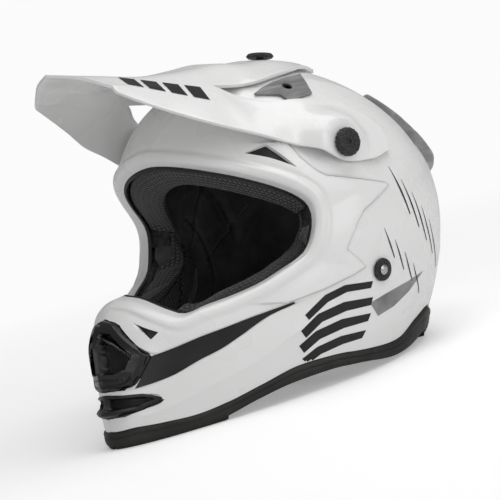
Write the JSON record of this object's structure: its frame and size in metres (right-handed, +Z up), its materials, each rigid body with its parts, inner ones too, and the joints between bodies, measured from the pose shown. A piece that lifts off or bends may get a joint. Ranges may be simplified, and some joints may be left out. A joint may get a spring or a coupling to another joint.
{
  "type": "motocross helmet",
  "caption": "Off-road full-face helmet with an open eyeport, long chin bar, tilting peak on thumb screws, padded liner and a double-ring chin strap.",
  "frame": {"origin": "on the ground under the middle of the whole object", "axes": "+Z up, the helmet faces -Y, +X to the wearer's left"},
  "size_m": [0.2564, 0.3688, 0.2892],
  "materials": {
    "black_plastic": "satin moulded",
    "brass": "machined",
    "foam": "expanded foam beads",
    "grey_plastic": "satin moulded",
    "liner_fabric": "brushed",
    "mesh_fabric": "embossed mesh",
    "rubber": "matt",
    "steel": "plated",
    "vent_mesh": "fine mesh",
    "webbing": "woven",
    "white_paint": "clear-coated white paint"
  },
  "bodies": {
    "shell": {"base_trim": "rubber", "brow_band": "mesh_fabric", "brow_mesh_left": "vent_mesh", "brow_mesh_right": "vent_mesh", "cheek_eps_left": "foam", "cheek_eps_right": "foam", "cheek_pad_left": "liner_fabric", "cheek_pad_right": "liner_fabric", "chin_eps": "foam", "chin_mesh_left": "vent_mesh", "chin_mesh_right": "vent_mesh", "chin_pad": "mesh_fabric", "chin_scoop": "black_plastic", "crown_pad": "liner_fabric", "eps_liner": "foam", "eyeport_seal": "rubber", "mouth_grille": "vent_mesh", "mouth_vent": "black_plastic", "neck_roll": "liner_fabric", "outer_shell": "white_paint", "peak_insert_left": "brass", "peak_insert_right": "brass", "peak_insert_top": "brass", "rear_spoiler": "grey_plastic", "rivet_ring_left": "black_plastic", "rivet_ring_right": "black_plastic", "scoop_grille": "vent_mesh", "side_flash_left": "black_plastic", "side_flash_right": "black_plastic", "strap_rivet_left": "steel", "strap_rivet_right": "steel", "top_vent_left": "grey_plastic", "top_vent_right": "grey_plastic"},
    "peak": {"peak": "white_paint"},
    "screw_left": {"peak_screw_left": "black_plastic"},
    "screw_right": {"peak_screw_right": "black_plastic"},
    "screw_top": {"peak_screw_top": "black_plastic"},
    "strap_left": {"strap_left": "webbing"},
    "strap_right": {"strap_right": "webbing"},
    "ring_1": {"d_ring_1": "steel"},
    "ring_2": {"d_ring_2": "steel"}
  },
  "joints": [
    {"name": "peak_tilt", "type": "hinge", "parent": "shell", "child": "peak", "pos_m": [0, 0.01947, 0.1774], "axis": [1, 0, 0], "range_deg": [-4, 5]},
    {"name": "screw_left_turn", "type": "hinge", "parent": "shell", "child": "screw_left", "pos_m": [0.11009, 0.01947, 0.1774], "axis": [1, 0, 0], "continuous": true},
    {"name": "screw_right_turn", "type": "hinge", "parent": "shell", "child": "screw_right", "pos_m": [-0.11009, 0.01947, 0.1774], "axis": [-1, 0, 0], "continuous": true},
    {"name": "screw_top_turn", "type": "hinge", "parent": "shell", "child": "screw_top", "pos_m": [0, 0.06174, 0.24339], "axis": [0, 0.3116, 0.9502], "continuous": true},
    {"name": "strap_left_swing", "type": "hinge", "parent": "shell", "child": "strap_left", "pos_m": [0.11847, 0.02393, 0.07394], "axis": [0.9863, 0.0051, -0.1647], "range_deg": [-2, 2]},
    {"name": "strap_right_swing", "type": "hinge", "parent": "shell", "child": "strap_right", "pos_m": [-0.11847, 0.02393, 0.07394], "axis": [-0.9863, 0.0051, -0.1647], "range_deg": [-2, 2]},
    {"name": "ring_1_swing", "type": "hinge", "parent": "strap_left", "child": "ring_1", "pos_m": [0.0194, -0.02358, 0.01375], "axis": [0, 1, 0], "range_deg": [0, 25]},
    {"name": "ring_2_swing", "type": "hinge", "parent": "strap_left", "child": "ring_2", "pos_m": [0.0194, -0.02358, 0.01025], "axis": [0, 1, 0], "range_deg": [-6, 0]}
  ]
}
